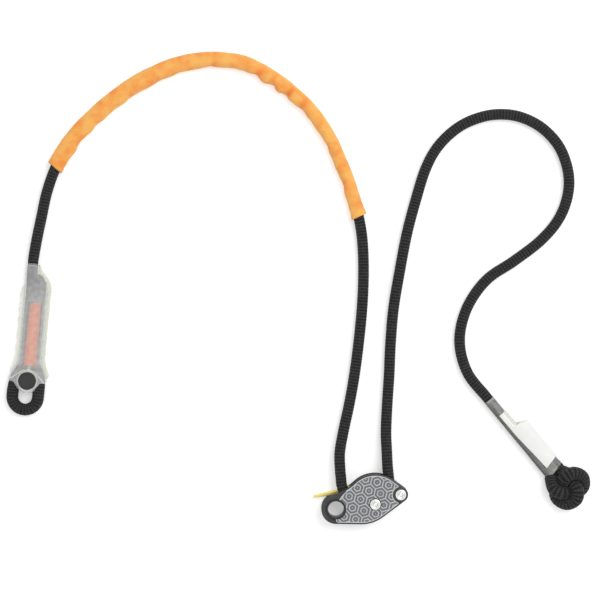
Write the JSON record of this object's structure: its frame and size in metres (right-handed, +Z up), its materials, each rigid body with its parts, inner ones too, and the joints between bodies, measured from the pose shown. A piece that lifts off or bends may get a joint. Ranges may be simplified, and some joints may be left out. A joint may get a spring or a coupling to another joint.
{
  "type": "adjustable climbing lanyard",
  "caption": "Rope work-positioning lanyard laid out flat, with a cam adjuster, a fabric protector, a covered sewn eye at one end and a sleeved end with a stopper knot at the other.",
  "frame": {"origin": "middle of the adjuster's footprint, on the surface that the lanyard lies on", "axes": "+X along the adjuster from its connector eye to its bollard, +Z up out of the surface, +Y towards the two stretches of rope"},
  "size_m": [0.6168, 0.4987, 0.0241],
  "materials": {
    "grey_alloy": "anodised, satin",
    "black_alloy": "anodised, satin",
    "black_steel": "blackened",
    "steel": "polished",
    "bronze": "plain",
    "yellow_alloy": "anodised, satin",
    "spring_steel": "drawn wire",
    "rope": "woven polyamide sheath",
    "orange_fabric": "woven nylon",
    "clear_plastic": "frosted, translucent",
    "orange_thread": "bonded thread",
    "black_thread": "bonded thread",
    "black_rubber": "moulded, matt",
    "white_film": "printed film, left blank"
  },
  "bodies": {
    "lanyard": {"front_side_plate": "grey_alloy", "rear_side_plate": "black_alloy", "eye_bush": "black_steel", "eye_spacer": "black_alloy", "axle_rivet": "steel", "bollard_rivet": "steel", "bollard_sleeve": "steel", "rope_in_adjuster": "rope", "rope_long_run": "rope", "rope_short_run": "rope", "protector_sleeve": "orange_fabric", "left_eye_rope": "rope", "left_cover": "clear_plastic", "left_stitching_top": "orange_thread", "left_stitching_underside": "orange_thread", "eye_plug_top": "black_rubber", "eye_plug_underside": "black_rubber", "stopper_knot_rope": "rope", "right_cover": "clear_plastic", "right_stitching_top": "black_thread", "right_stitching_underside": "black_thread", "label": "white_film"},
    "cam": {"cam": "steel", "cam_bush": "bronze", "release_lever": "yellow_alloy", "lever_rivet_1": "steel", "lever_rivet_2": "steel", "return_spring": "spring_steel"}
  },
  "joints": [
    {"name": "cam_hinge", "type": "hinge", "parent": "lanyard", "child": "cam", "pos_m": [0.0154, -0.00535, 0.0118], "axis": [0, 0, 1], "range_deg": [-18, 0], "stiffness_Nm_per_rad": 0.02, "springref_deg": 17.19, "deforming": ["return_spring"]}
  ]
}
